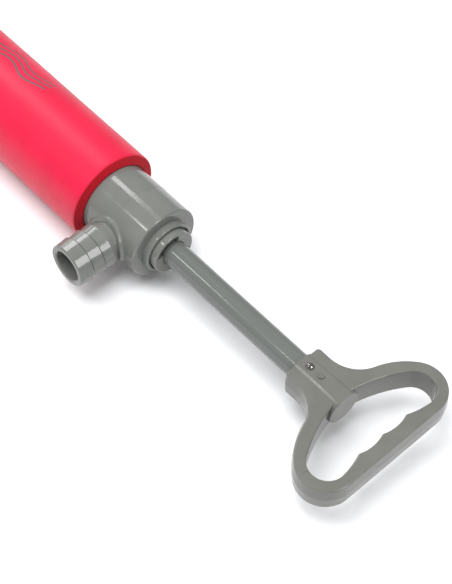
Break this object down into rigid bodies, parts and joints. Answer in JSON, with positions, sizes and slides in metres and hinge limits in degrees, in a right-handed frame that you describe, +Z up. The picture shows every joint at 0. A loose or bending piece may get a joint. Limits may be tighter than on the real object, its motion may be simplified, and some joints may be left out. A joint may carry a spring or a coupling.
{
  "type": "hand bilge pump",
  "caption": "Hand lift pump: a tube barrel in a foam float, a tee head with a barbed side outlet, and a sliding, turning rod with a D-shaped finger grip.",
  "frame": {"origin": "centre of the foot's flat face, on the pump's axis", "axes": "+X along the pump's axis from foot to handle, +Z up as the pump lies on its float, -Y the way the outlet points"},
  "size_m": [0.6585, 0.1211, 0.07],
  "materials": {
    "moulded_plastic": "satin",
    "barrel_plastic": "gloss",
    "rod_plastic": "gloss",
    "inner_plastic": "satin",
    "float_foam": "matte",
    "seal_rubber": "matte",
    "valve_rubber": "matte",
    "stainless": "polished"
  },
  "bodies": {
    "barrel": {"barrel_tube": "barrel_plastic", "foam_sleeve": "float_foam", "head_housing": "moulded_plastic", "head_o_ring": "seal_rubber", "outlet_spigot": "moulded_plastic", "spigot_o_ring": "seal_rubber", "gland_bush": "moulded_plastic", "gland_o_ring": "seal_rubber", "gland_nut": "moulded_plastic", "rod_wiper_seal": "seal_rubber", "foot_cap": "moulded_plastic", "strainer_grid": "moulded_plastic", "foot_valve_seat": "inner_plastic", "foot_gasket": "seal_rubber", "foot_valve_pin": "inner_plastic"},
    "foot_valve": {"foot_valve_disc": "valve_rubber"},
    "piston_ring": {"piston_cup_seal": "seal_rubber"},
    "plunger": {"piston_body": "inner_plastic", "valve_sleeve": "stainless", "valve_stop": "stainless", "piston_washer": "stainless", "piston_bolt": "stainless", "pump_rod": "rod_plastic", "rod_end_plug": "inner_plastic", "rod_top_plug": "inner_plastic", "stop_sleeve": "inner_plastic", "buffer_washer": "valve_rubber", "handle_grip": "moulded_plastic", "handle_screw": "stainless"},
    "piston_valve": {"piston_valve_disc": "valve_rubber"}
  },
  "joints": [
    {"name": "rod_slide", "type": "slide", "parent": "barrel", "child": "piston_ring", "axis": [1, 0, 0], "range_m": [-0.12, 0.188]},
    {"name": "rod_spin", "type": "hinge", "parent": "piston_ring", "child": "plunger", "pos_m": [0.167, 0, 0], "axis": [1, 0, 0], "continuous": true},
    {"name": "piston_valve_lift", "type": "slide", "parent": "plunger", "child": "piston_valve", "axis": [1, 0, 0], "range_m": [0, 0.003]},
    {"name": "foot_valve_lift", "type": "slide", "parent": "barrel", "child": "foot_valve", "axis": [1, 0, 0], "range_m": [0, 0.004]}
  ]
}
